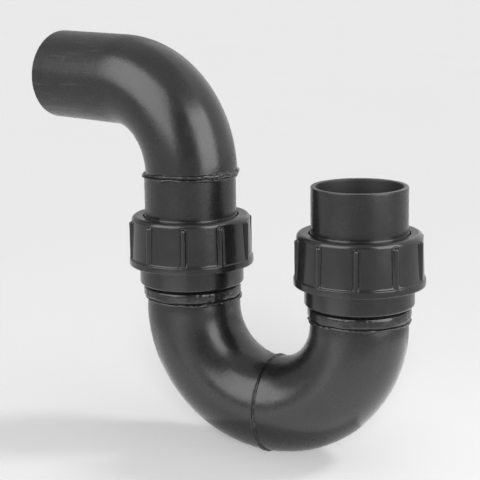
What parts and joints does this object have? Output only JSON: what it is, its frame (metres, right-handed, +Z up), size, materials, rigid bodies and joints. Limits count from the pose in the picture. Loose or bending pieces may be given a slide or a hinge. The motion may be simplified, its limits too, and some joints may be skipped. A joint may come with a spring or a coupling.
{
  "type": "drain trap",
  "caption": "Tubular P-trap in black polyethylene: a welded U of elbows under ribbed screw unions, with a plain inlet spigot and a bent outlet arm.",
  "frame": {"origin": "centre of the inlet spigot's open rim", "axes": "+Z up along the inlet leg, out of the spigot; the outlet leg stands at -X; the outlet arm leaves it towards -X, turned 9 degrees towards +Y"},
  "size_m": [0.2606, 0.0828, 0.2515],
  "materials": {
    "pipe": "satin, butt-welded black polyethylene pipe and elbows",
    "sleeve": "satin moulded black polyethylene",
    "nut": "satin moulded black polyethylene, slightly greyer than the pipe",
    "seal": "matt black rubber"
  },
  "bodies": {
    "inlet_bush": {"inlet_flange_bush": "pipe"},
    "trap": {"trap_elbow_inlet_side": "pipe", "trap_elbow_outlet_side": "pipe", "inlet_threaded_sleeve": "sleeve", "outlet_threaded_sleeve": "sleeve"},
    "inlet_ring": {"inlet_seal": "seal"},
    "inlet_nut": {"inlet_union_nut": "nut"},
    "outlet_arm": {"outlet_flange_bush": "pipe", "outlet_elbow": "pipe"},
    "outlet_ring": {"outlet_seal": "seal"},
    "outlet_nut": {"outlet_union_nut": "nut"}
  },
  "joints": [
    {"name": "inlet_swivel", "type": "hinge", "parent": "inlet_bush", "child": "trap", "pos_m": [0, 0, -0.04], "axis": [0, 0, 1], "continuous": true},
    {"name": "outlet_swivel", "type": "hinge", "parent": "trap", "child": "outlet_arm", "pos_m": [-0.1125, 0, -0.04], "axis": [0, 0, 1], "continuous": true},
    {"name": "inlet_nut_turn", "type": "hinge", "parent": "trap", "child": "inlet_ring", "pos_m": [0, 0, -0.04], "axis": [0, 0, 1], "range_deg": [0, 1130]},
    {"name": "inlet_nut_lift", "type": "slide", "parent": "inlet_ring", "child": "inlet_nut", "axis": [0, 0, 1], "range_m": [0, 0.0126]},
    {"name": "outlet_nut_turn", "type": "hinge", "parent": "trap", "child": "outlet_ring", "pos_m": [-0.1125, 0, -0.04], "axis": [0, 0, 1], "range_deg": [0, 1130]},
    {"name": "outlet_nut_lift", "type": "slide", "parent": "outlet_ring", "child": "outlet_nut", "axis": [0, 0, 1], "range_m": [0, 0.0126]}
  ],
  "couplings": [
    {"joint": "inlet_nut_lift", "follows": "inlet_nut_turn", "m_per_rad": 0.00063662},
    {"joint": "outlet_nut_lift", "follows": "outlet_nut_turn", "m_per_rad": 0.00063662}
  ]
}
